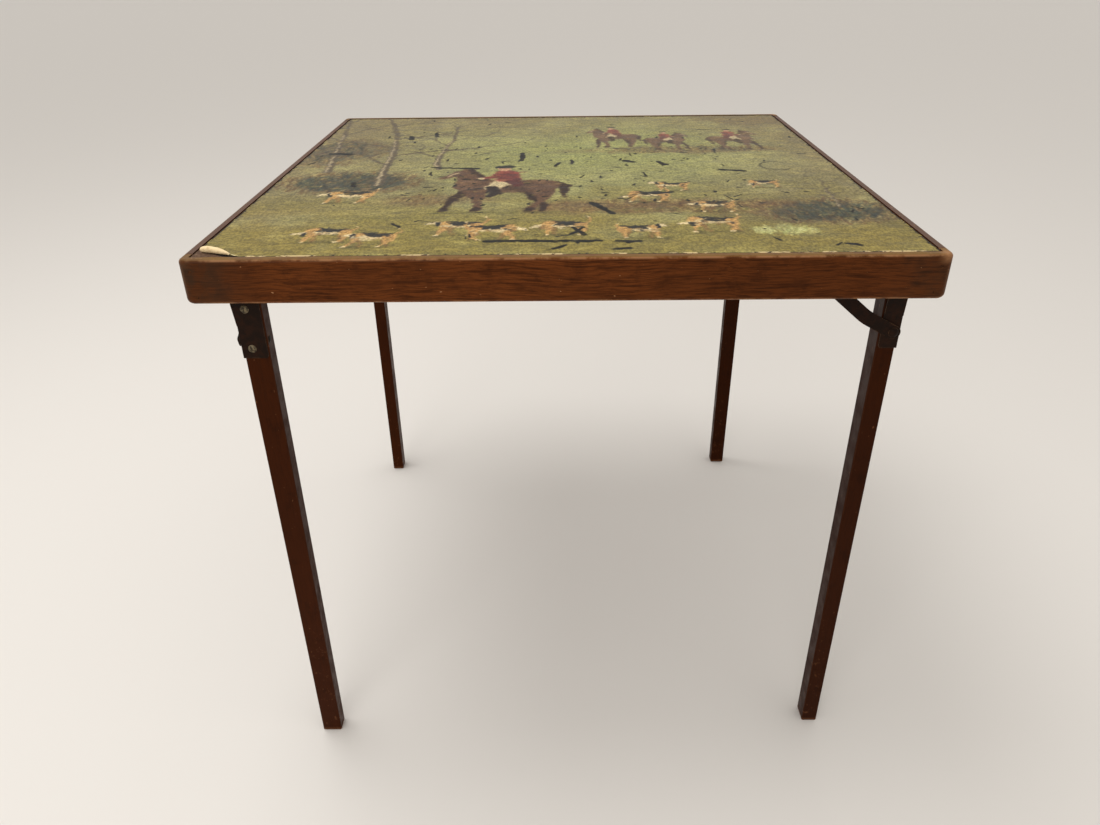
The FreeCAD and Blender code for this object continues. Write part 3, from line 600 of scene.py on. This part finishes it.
MM = 0.001
TORN_FRONT, TORN_SIDE = 48.0, 26.0  # mm along the front and the left side
PAPER_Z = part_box("print_sheet")[1].z
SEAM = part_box("top_panel")[1].x
TEAR_START = np.array((TORN_FRONT - PAPER_HALF, -PAPER_HALF))
TEAR_END = np.array((-PAPER_HALF, TORN_SIDE - PAPER_HALF))
TEAR_RUN = (TEAR_END - TEAR_START) / np.hypot(*(TEAR_END - TEAR_START))
TEAR_OUT = np.array((-TEAR_RUN[1], TEAR_RUN[0]))
GRAIN_WANDER, GRAIN_PERIOD = 0.0085, 0.13  # m, how far the grain strays and over what length
EDGE_WEAR, STEEL_WEAR = 0.0014, 0.0009  # m, the width of worn edges on legs and on steel


def grain_scale(along, lengthwise, crosswise):
    return tuple(lengthwise if axis == along else crosswise for axis in "xyz")


def wood_patterns(tree, along):
    """The noises and places that the layers of a wood share."""
    waved = tree.place_waved(grain_scale(along, 0.6, 13.0), GRAIN_WANDER, GRAIN_PERIOD)
    where = tree.add("TexCoord").outputs
    x, y, height = tree.add("SeparateXYZ", Vector=where["Object"]).outputs
    return SimpleNamespace(
        streaks=tree.noise(waved, 24.0, 5.0, 0.62),
        fibre=tree.noise(waved, 58.0, 4.0, 0.75),
        patches=tree.noise(tree.place(), 6.0, 3.0, 0.6),
        dirt=tree.noise(tree.place(), 45.0, 4.0, 0.65),
        chips=tree.noise(tree.place(), 150.0, 4.0, 0.7),
        nicks=tree.noise(tree.place(grain_scale(along, 150, 260)), 1.0, 2.0, 0.5),
        normal=tree.add("SeparateXYZ", Vector=where["Normal"]).outputs,
        corner=tree.math("MINIMUM", tree.math("ABSOLUTE", x), tree.math("ABSOLUTE", y)),
        rim=tree.largest(x, y),
        x=x,
        height=height,
    )


def stained(tree, seen, light, dark, figured):
    """The stain over the figure and pores; the whole piece is then made a little darker towards the
    table's right.
    """
    depth = tree.ramp(seen.patches, 0.4, 0.62, 0.12 * figured, 0.58 * figured)
    base = tree.mix(tree.times(tree.ramp(seen.streaks, 0.5, 0.38), depth), light, dark)
    base = tree.shade(base, tree.ramp(seen.fibre, 0.36, 0.58, 1.0 - 0.46 * figured, 1.0 + 0.1 * figured))
    base = tree.shade(base, tree.ramp(seen.patches, 0.36, 0.64, 1.0 - 0.2 * figured, 1.0 + 0.12 * figured))
    base = tree.mix(tree.ramp(seen.dirt, 0.52, 0.7, 0.0, 0.35), base, dark)
    return tree.shade(base, tree.ramp(seen.x, 0.03, 0.21, 1.0, 0.76))


def soiled(tree, seen, base, dust_and_sheen):
    """Grime at the top's corners, most at the left, and dust on what faces up, partly a painted sheen."""
    grime = tree.times(
        tree.ramp(seen.corner, 0.3, 0.374),
        tree.ramp(seen.height, 0.62, 0.66),
        tree.ramp(seen.dirt, 0.34, 0.6, 0.3, 0.88),
        tree.ramp(seen.x, -0.1, 0.1, 1.0, 0.55),
    )
    base = tree.mix(grime, base, colour(55, 38, 25))
    # Faces that look up take the dust colour, which is partly a painted sheen: greyer on the side rails'
    # tops than on the front and back.
    dust = tree.times(tree.ramp(seen.normal[2], 0.6, 0.98), tree.ramp(seen.dirt, 0.36, 0.6, 0.5, 0.9))
    return tree.mix(dust, base, dust_and_sheen)


def rubbed(tree, seen, base, worn):
    """Rounded edges and the legs' sharp edges, worn through the stain, and the top corners, most at the
    right, worn light and given a painted highlight.
    """
    turned = tree.times(
        tree.ramp(tree.largest(*seen.normal), 0.98, 0.74),
        tree.ramp(tree.math("ABSOLUTE", seen.normal[2]), 0.05, 0.4, 0.3, 1.0),
        tree.ramp(seen.dirt, 0.38, 0.6, 0.05, 0.62),
    )
    sharp = tree.times(
        tree.edge(EDGE_WEAR),
        tree.ramp(seen.height, 0.64, 0.58),
        tree.ramp(seen.chips, 0.4, 0.6, 0.12, 0.8),
    )
    # The top corners, strongest at the right: worn through, with a painted highlight in the same worn
    # colour.
    corner_wear_and_highlight = tree.times(
        tree.ramp(seen.corner, 0.362, 0.379),
        tree.ramp(seen.height, TOP - 0.012, TOP - 0.001),
        tree.ramp(seen.dirt, 0.35, 0.6, 0.5, 1.0),
        tree.ramp(seen.x, -0.1, 0.1, 0.15, 1.0),
    )
    most = tree.math("MAXIMUM", tree.math("MAXIMUM", turned, sharp), corner_wear_and_highlight)
    return tree.mix(most, base, worn)


def scuffed(tree, seen, base, worn):
    """Small nicks all over, and scuffs near the floor that run together at the feet."""
    base = tree.mix(tree.ramp(seen.nicks, 0.72, 0.75, 0.0, 0.8), base, worn)
    scuffs = tree.times(tree.ramp(seen.height, 0.26, 0.02), tree.ramp(seen.chips, 0.6, 0.66, 0.0, 0.7))
    scuffs = tree.math("MAXIMUM", scuffs, tree.ramp(seen.height, 0.007, 0.003, 0.0, 0.6))
    return tree.mix(scuffs, base, worn)


def wood(name, along, light, dark, worn, dust_and_sheen, figured):
    """Stained wood with its grain along one axis, with dust and a painted sheen on top, scuffed near the
    floor, and a painted shadow in the gap beside the panel.
    """
    tree = Tree(name)
    seen = wood_patterns(tree, along)
    base = stained(tree, seen, light, dark, figured)
    base = soiled(tree, seen, base, dust_and_sheen)
    base = rubbed(tree, seen, base, worn)
    base = scuffed(tree, seen, base, worn)
    # Painted shade: the rails' inner walls beside the panel, just under the top, are darkened almost to
    # black as the gap's shadow.
    painted_gap_shade = tree.times(
        tree.ramp(seen.rim, SEAM + 0.0012, SEAM + 0.0003),
        tree.ramp(seen.height, TOP - 0.006, TOP - 0.004),
    )
    return tree.finish(
        Base_Color=tree.mix(painted_gap_shade, base, colour(18, 9, 5)),
        Roughness=tree.ramp(seen.dirt, 0.3, 0.7, 0.3, 0.52),
        Normal=tree.bump(seen.fibre, 0.0002, 0.25),
        Specular_IOR_Level=0.05,
    )


def steel(name):
    """Dark, oxidised steel with brown mottling and rubbed edges."""
    tree = Tree(name)
    mottle = tree.noise(tree.place(), 150.0, 5.0, 0.65)
    cloud = tree.noise(tree.place(), 30.0, 3.0)
    base = tree.mix(tree.ramp(mottle, 0.38, 0.66), colour(24, 11, 4), colour(38, 19, 8))
    base = tree.mix(tree.ramp(cloud, 0.45, 0.65, 0.0, 0.6), base, colour(20, 10, 5))
    rub = tree.times(tree.edge(STEEL_WEAR), tree.ramp(mottle, 0.42, 0.6, 0.1, 0.7))
    base = tree.mix(rub, base, colour(104, 78, 56))
    return tree.finish(
        Base_Color=base,
        Metallic=0.15,
        Roughness=tree.ramp(mottle, 0.3, 0.7, 0.4, 0.62),
        Normal=tree.bump(mottle, 0.0002, 0.6),
        Specular_IOR_Level=0.1,
    )


def fastener(name):
    """Dull grey steel, mottled with dark dirt."""
    tree = Tree(name)
    mottle = tree.noise(tree.place(), 380.0, 4.0, 0.6)
    base = tree.mix(tree.ramp(mottle, 0.4, 0.62), colour(52, 42, 28), colour(120, 106, 80))
    return tree.finish(
        Base_Color=base,
        Metallic=0.6,
        Roughness=tree.ramp(mottle, 0.3, 0.7, 0.38, 0.6),
        Normal=tree.bump(mottle, 0.0001, 0.5),
    )


def stopped_nail(name):
    """Nail heads under stained stopping, a little darker than the rail."""
    tree = Tree(name)
    mottle = tree.noise(tree.place(), 500.0, 3.0)
    base = tree.mix(tree.ramp(mottle, 0.4, 0.6), colour(54, 30, 15), colour(74, 42, 20))
    return tree.finish(
        Base_Color=base,
        Roughness=0.6,
        Normal=tree.bump(mottle, 0.0001, 0.5),
        Specular_IOR_Level=0.05,
    )


def fibreboard(name):
    """Brown pressed board, with a painted dark shadow beside the tear in the print."""
    tree = Tree(name)
    speck = tree.noise(tree.place(), 420.0, 4.0, 0.7)
    cloud = tree.noise(tree.place(), 60.0, 3.0)
    base = tree.mix(tree.ramp(speck, 0.36, 0.62), colour(70, 48, 34), colour(108, 82, 62))
    base = tree.mix(tree.ramp(cloud, 0.4, 0.7, 0.0, 0.5), base, colour(72, 54, 42))
    base = tree.mix(tree.ramp(speck, 0.6, 0.68, 0.0, 0.7), base, colour(150, 126, 102))
    where = tree.add("TexCoord").outputs["Object"]
    beyond = tree.math("SUBTRACT", tree.dot(where, (*TEAR_OUT, 0.0)), float(TEAR_START @ TEAR_OUT) * MM)
    along = tree.math("SUBTRACT", tree.dot(where, (*TEAR_RUN, 0.0)), float(TEAR_START @ TEAR_RUN) * MM)
    # Painted shadow: the board is darkened along the outside of the tear, under the lifted paper and the
    # curl.
    stain = tree.times(
        tree.ramp(beyond, 0.008, 0.004),
        tree.ramp(cloud, 0.3, 0.5, 0.6, 1.0),
        tree.ramp(beyond, -0.004, -0.002),
        tree.ramp(along, 0.034, 0.02),
    )
    base = tree.mix(stain, base, colour(20, 13, 9))
    return tree.finish(
        Base_Color=base,
        Roughness=0.85,
        Normal=tree.bump(speck, 0.0003, 0.6),
        Specular_IOR_Level=0.2,
    )


def paint_over(node, material):
    """Gives a CAD node that one material."""
    data = nodes[node].data
    data.materials.clear()
    data.materials.append(material)


def dress():
    """Gives every CAD node its material."""
    light, dark, worn = colour(90, 46, 17), colour(37, 15, 4), colour(166, 120, 82)
    for side, along in (("front", "x"), ("back", "x"), ("left", "y"), ("right", "y")):
        # The dust colour on the rails' tops, partly a painted sheen: greyer on the side rails.
        dust_and_sheen = colour(125, 94, 53) if along == "x" else colour(100, 77, 63)
        stain = wood(f"rail_{side}_wood", along, light, dark, worn, dust_and_sheen, 0.9)
        paint_over(f"rail_{side}", stain)
    leg_light, leg_dark = colour(55, 21, 1), colour(30, 10, 1)
    leg = wood("leg_wood", "z", leg_light, leg_dark, colour(98, 61, 37), leg_light, 0.3)
    dark_steel, grey_steel = steel("dark_steel"), fastener("fastener_steel")
    board, stopping = fibreboard("fibreboard"), stopped_nail("nail_stopping")
    legs = [f"leg_{corner}" for corner in CORNERS]
    for name in nodes:
        if name == "top_panel":
            paint_over(name, board)
        elif name == "rail_nails":
            paint_over(name, stopping)
        elif name in legs:
            paint_over(name, leg)
        elif name.startswith(("bracket_screws", "track_screws", "leg_plate_screws")):
            paint_over(name, grey_steel)
        elif not name.startswith(("rail_", "print_sheet")):
            paint_over(name, dark_steel)


dress()


# ---------------------------------------------------------------- the printed sheet

CURL_START, CURL_END = 45.0, 12.0  # mm along the tear
CURL_ROWS, CURL_TURNS, CURL_FLAT = 34, 30, 6  # points along, round, and round before the roll
PAPER_THICKNESS = 0.25  # mm
# Cell size in canvas pixels, then the least detail and contrast that split it. The last never splits.
CELL_LEVELS = ((8, 2, 0.16), (4, 4, 0.26), (2, math.inf, 0.0))


def torn_away(x, y):
    """How far a point lies beyond the ragged tear, towards the missing corner."""
    out = (x - TEAR_START[0]) * TEAR_OUT[0] + (y - TEAR_START[1]) * TEAR_OUT[1]
    along = (x - TEAR_START[0]) * TEAR_RUN[0] + (y - TEAR_START[1]) * TEAR_RUN[1]
    ragged = 0.9 * np.sin(along * 0.55) + 0.6 * np.sin(along * 1.7 + 1) + 0.4 * np.sin(along * 4.1)
    return out + ragged


def block(values, size, reduce):
    """values reduced over square blocks of pixels."""
    count = COUNT // size
    return reduce(reduce(values.reshape(count, size, count, size, -1), 3), 1).squeeze()


def cells(canvas):
    """Square cells (column, row, size in canvas pixels), small where the picture has detail."""
    active, found = None, []
    for size, needed, contrast in CELL_LEVELS:
        detail = block(canvas.detail, size, np.max)
        spread = (block(canvas.paint, size, np.max) - block(canvas.paint, size, np.min)).max(-1)
        active = np.ones_like(detail, bool) if active is None else active
        split = active & (detail >= needed) & (spread > contrast)
        rows, columns = np.nonzero(active & ~split)
        found += [(c * size, r * size, size) for c, r in zip(columns.tolist(), rows.tolist())]
        active = np.repeat(np.repeat(split, 2, 0), 2, 1)
    return found


def outline(column, row, size, used):
    """The cell's corners and the neighbours' corners on its sides, in order."""
    steps = range(0, size, 2)
    ring = [(column + s, row) for s in steps] + [(column + size, row + s) for s in steps]
    ring += [(column + size - s, row + size) for s in steps]
    ring += [(column, row + size - s) for s in steps]
    return [point for point in ring if point in used]


def average(sums, column, row, reach):
    """The mean colour of the square of paint within reach of a pixel corner."""
    left, right = max(column - reach, 0), min(column + reach, COUNT)
    low, high = max(row - reach, 0), min(row + reach, COUNT)
    total = sums[high, right] - sums[low, right] - sums[high, left] + sums[low, left]
    return total / ((high - low) * (right - left))


def sheet_mesh(canvas):
    """(points, faces, colours) of the print, with cells that meet corner to corner."""
    found = cells(canvas)
    finest = {}
    for column, row, size in found:
        for point in itertools.product((column, column + size), (row, row + size)):
            finest[point] = min(size, finest.get(point, size))
    sums = np.zeros((COUNT + 1, COUNT + 1, 3))
    sums[1:, 1:] = canvas.paint.cumsum(0).cumsum(1)
    numbers, points, colours, faces = {}, [], [], []

    def number(point, reach):
        if point not in numbers:
            numbers[point] = len(points)
            points.append([value * PIXEL - PAPER_HALF for value in point])
            colours.append(average(sums, *point, reach))
        return numbers[point]

    for column, row, size in found:
        ring = outline(column, row, size, finest)
        edge = [number(point, max(1, finest[point] // 2)) for point in ring]
        if len(ring) == 4:
            faces.append(edge)
        else:
            middle = number((column + size // 2, row + size // 2), size // 2)
            faces += [[edge[k - 1], edge[k], middle] for k in range(len(edge))]
    return np.array(points), faces, np.array(colours)


def trimmed(points, faces):
    """Cuts the sheet back to the tear: the cells that cross it are drawn in to it."""
    away = torn_away(points[:, 0], points[:, 1])
    kept = [face for face in faces if min(away[k] for k in face) < -0.3]
    drawn = np.where(away > 0, away, 0)
    return points - drawn[:, None] * TEAR_OUT, kept


def lift(points):
    """How far the sheet has come up off the board, beside the tear."""
    offset = points - TEAR_START
    inside = np.maximum(-offset @ TEAR_OUT, 0)
    along = offset @ TEAR_RUN
    return 1.5 * np.exp(-inside / 3.5) * np.exp(-(((along - 20) / 14) ** 2))


def new_piece(name, points, faces, colours, material):
    """A painted mesh on the frame's body. The paint is sRGB, the mesh's colours are linear."""
    mesh = bpy.data.meshes.new(name)
    mesh.from_pydata(points.tolist(), [], faces)
    layer = mesh.color_attributes.new("paint", "FLOAT_COLOR", "POINT")
    tints = np.ones((len(points), 4))
    tints[:, :3] = np.clip(colours, 0, 1) ** 2.2
    layer.data.foreach_set("color", tints.ravel())
    mesh.materials.append(material)
    piece = bpy.data.objects.new(name, mesh)
    bpy.context.scene.collection.objects.link(piece)
    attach(piece, "frame")
    return piece


def printed_paper(material):
    """The whole print, cut back to its tear and lifted beside it."""
    canvas = picture()
    points, faces, colours = sheet_mesh(canvas)
    points, faces = trimmed(points, faces)
    used = np.unique([k for face in faces for k in face])
    renumber = np.full(len(points), -1)
    renumber[used] = np.arange(len(used))
    faces = [[int(renumber[k]) for k in face] for face in faces]
    placed = np.column_stack((points[used], lift(points[used]))) * MM + (0, 0, PAPER_Z)
    return new_piece("printed_paper", placed, faces, colours[used], material)


def curl_shape():
    """The torn corner: it runs out flat from the tear, then rolls back over itself."""
    grid = np.empty((CURL_ROWS, CURL_TURNS, 3))
    for i in range(CURL_ROWS):
        share = i / (CURL_ROWS - 1)
        base = TEAR_START + TEAR_RUN * (CURL_START + (CURL_END - CURL_START) * share)
        radius = 5.8 * (share + 0.08) ** 0.4 * (1 - share) ** 0.7 + 0.5
        reach = 5.0 * (1 - share) ** 1.3 + 1.0
        limit = 3.9 + 0.35 * math.sin(9 * share) + 0.2 * math.sin(23 * share)
        for j in range(CURL_TURNS):
            rolled = max(0, j - CURL_FLAT) / (CURL_TURNS - 1 - CURL_FLAT)
            angle = limit * rolled
            tighter = 1 - 0.14 * rolled
            out = reach * min(1.0, j / CURL_FLAT) + radius * math.sin(angle) * tighter - 0.8
            wave = 0.3 * math.sin(4 * math.pi * share + angle) * rolled
            grid[i, j, :2] = base + TEAR_OUT * (out + wave)
            grid[i, j, 2] = radius * (1 - math.cos(angle)) * tighter + 0.25
    return grid


def paper_curl(material):
    """The lifted corner: cream paper outside, the picture's colour inside."""
    grid = curl_shape()
    rows, turns, _ = grid.shape
    normal = np.cross(np.gradient(grid, axis=0), np.gradient(grid, axis=1))
    normal /= np.linalg.norm(normal, axis=2, keepdims=True)
    layers = np.stack((grid, grid + normal * PAPER_THICKNESS)).reshape(-1, 3)
    index = np.arange(2 * rows * turns).reshape(2, rows, turns)
    faces = []
    for i in range(rows - 1):
        for j in range(turns - 1):
            a, b, c, d = index[0, i:i + 2, j:j + 2].ravel().tolist()
            faces.append([a, b, d, c])
            a, b, c, d = index[1, i:i + 2, j:j + 2].ravel().tolist()
            faces.append([a, c, d, b])
    rim = [(0, j) for j in range(turns)] + [(i, turns - 1) for i in range(1, rows)]
    rim += [(rows - 1, j) for j in range(turns - 2, -1, -1)] + [(i, 0) for i in range(rows - 2, 0, -1)]
    for first, second in zip(rim, rim[1:] + rim[:1]):
        ring = (index[0][first], index[1][first], index[1][second], index[0][second])
        faces.append([int(k) for k in ring])
    placed = layers * MM + (0, 0, PAPER_Z)
    tints = np.repeat([rgb(136, 124, 82), rgb(236, 210, 162)], rows * turns, 0)
    return new_piece("paper_curl", placed, faces, tints, material)


def print_material(name):
    """A varnished colour print: the painted colours, their grain, and a worn border."""
    tree = Tree(name)
    paint = tree.add("Attribute", {"attribute_name": "paint"}).outputs["Color"]
    speck = tree.noise(tree.place((1, 0.6, 1)), 330.0, 3.0, 0.7)
    mottle = tree.noise(tree.place((0.5, 1, 1)), 95.0, 4.0, 0.65)
    base = tree.shade(paint, tree.ramp(speck, 0.38, 0.62, 0.72, 1.2))
    base = tree.shade(base, tree.ramp(mottle, 0.36, 0.64, 0.8, 1.12))
    base = tree.mix(tree.ramp(mottle, 0.56, 0.7, 0.0, 0.22), base, colour(186, 172, 112))
    flecks = tree.noise(tree.place((0.55, 1, 1)), 420.0, 2.0, 0.5)
    pitted = tree.times(tree.ramp(flecks, 0.62, 0.7), tree.ramp(mottle, 0.36, 0.58, 0.1, 0.6))
    base = tree.mix(pitted, base, colour(62, 50, 34))
    axes = tree.add("SeparateXYZ", Vector=tree.add("TexCoord").outputs["Object"]).outputs
    reach = tree.largest(axes[0], axes[1])
    chips = tree.noise(tree.place(), 150.0, 3.0, 0.6)
    front = tree.ramp(axes[1], -0.3652, -0.3676)
    segments = tree.noise(tree.place(), 38.0, 3.0, 0.6)
    bare = tree.times(front, tree.ramp(segments, 0.48, 0.54))
    base = tree.mix(bare, base, colour(206, 182, 132))
    lost = tree.times(tree.ramp(reach, 0.363, 0.3685), tree.ramp(chips, 0.46, 0.4))
    rim = tree.times(tree.ramp(reach, 0.3676, 0.3692), tree.ramp(segments, 0.56, 0.48))
    base = tree.mix(tree.math("MAXIMUM", lost, rim), base, colour(34, 25, 16))
    return tree.finish(
        Base_Color=base,
        Roughness=tree.ramp(mottle, 0.3, 0.7, 0.36, 0.5),
        Normal=tree.bump(speck, 0.00012, 0.3),
        Specular_IOR_Level=0.07,
    )


def paper_back(name):
    """Unprinted paper, yellowed and dirty."""
    tree = Tree(name)
    paint = tree.add("Attribute", {"attribute_name": "paint"}).outputs["Color"]
    stain = tree.noise(tree.place(), 260.0, 3.0, 0.6)
    base = tree.mix(tree.ramp(stain, 0.5, 0.75, 0.0, 0.5), paint, colour(186, 150, 100))
    return tree.finish(Base_Color=base, Roughness=0.85, Normal=tree.bump(stain, 0.0002, 0.5))


paper = printed_paper(print_material("print_paper"))
curl = paper_curl(paper_back("paper_back"))
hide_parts("print_sheet")


# ---------------------------------------------------------------- floor, light, camera

IMAGE_WIDTH = 1100.0  # pixels
FOCAL_LENGTH = 832.8  # pixels
SENSOR_WIDTH = 36.0  # mm
CAMERA_PITCH, CAMERA_YAW, CAMERA_ROLL = 0.5136, 0.01296, -0.01226  # radians, the pitch downwards
CAMERA_PLACE = (-0.0053, -1.1614, TOP + 0.2671)

def floor():
    """A plain pale floor, far wider than the table."""
    bpy.ops.mesh.primitive_plane_add(size=400, location=(0, 0, 0))
    plane = bpy.context.object
    plane.name = "floor"
    tree = Tree("floor_paint")
    plane.data.materials.append(tree.finish(Base_Color=colour(232, 227, 220), Roughness=0.8))


def area(name, place, target, size, power):
    """A round soft light that faces its target."""
    data = bpy.data.lights.new(name, "AREA")
    data.shape = "DISK"
    data.size = size
    data.energy = power
    lamp = bpy.data.objects.new(name, data)
    bpy.context.scene.collection.objects.link(lamp)
    lamp.location = place
    aim = Vector(target) - Vector(place)
    lamp.rotation_euler = aim.to_track_quat("-Z", "Y").to_euler()


def lights():
    """Pale surroundings, a soft key light above and a weaker one from the front."""
    world = bpy.data.worlds.new("studio")
    world.use_nodes = True
    background = world.node_tree.nodes["Background"]
    background.inputs["Color"].default_value = (1.0, 0.975, 0.945, 1.0)
    background.inputs["Strength"].default_value = 0.72
    bpy.context.scene.world = world
    area("key", (-0.9, 0.2, 3.0), (0, 0, 0.6), 1.6, 30)
    area("fill", (-0.9, -2.8, 2.3), (0, 0, 0.4), 2.0, 25)


def camera():
    """A phone camera standing in front of the table, looking down at it."""
    data = bpy.data.cameras.new("camera")
    data.sensor_width = SENSOR_WIDTH
    data.lens = SENSOR_WIDTH * FOCAL_LENGTH / IMAGE_WIDTH
    view = bpy.data.objects.new("camera", data)
    bpy.context.scene.collection.objects.link(view)
    turn = (
        Matrix.Rotation(CAMERA_YAW, 4, "Z")
        @ Matrix.Rotation(math.pi / 2 - CAMERA_PITCH, 4, "X")
        @ Matrix.Rotation(CAMERA_ROLL, 4, "Z")
    )
    view.matrix_world = Matrix.Translation(CAMERA_PLACE) @ turn
    bpy.context.scene.camera = view


floor()
lights()
camera()
bpy.context.scene.view_settings.view_transform = "Standard"

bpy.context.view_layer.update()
